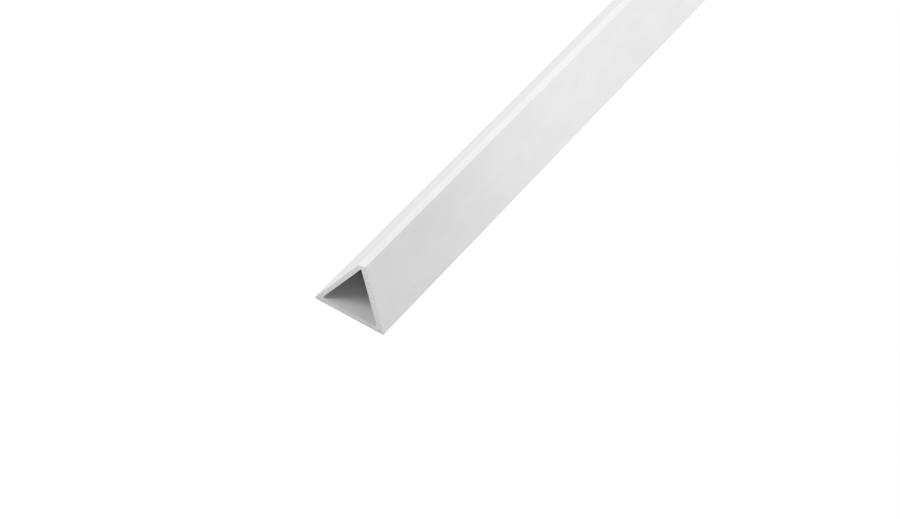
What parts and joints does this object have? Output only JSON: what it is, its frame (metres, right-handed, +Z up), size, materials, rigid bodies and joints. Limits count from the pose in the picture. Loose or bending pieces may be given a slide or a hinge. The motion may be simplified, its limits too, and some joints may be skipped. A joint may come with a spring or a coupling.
{
  "type": "triangular PVC trim",
  "caption": "Hollow triangular PVC trim strip with a narrow flat along its ridge, cut square at both ends, for chamfered edges, corners and covings.",
  "frame": {"origin": "middle of the base, on the surface the strip lies on", "axes": "+Y along the strip, +X across the base towards the side that the ridge flat rises to, +Z up"},
  "size_m": [0.025, 2.5, 0.0212],
  "materials": {
    "white_pvc": "satin white rigid PVC, smooth from the die with faint lengthwise draw lines, sawn ends"
  },
  "bodies": {
    "root": {"trim": "white_pvc"}
  },
  "joints": []
}
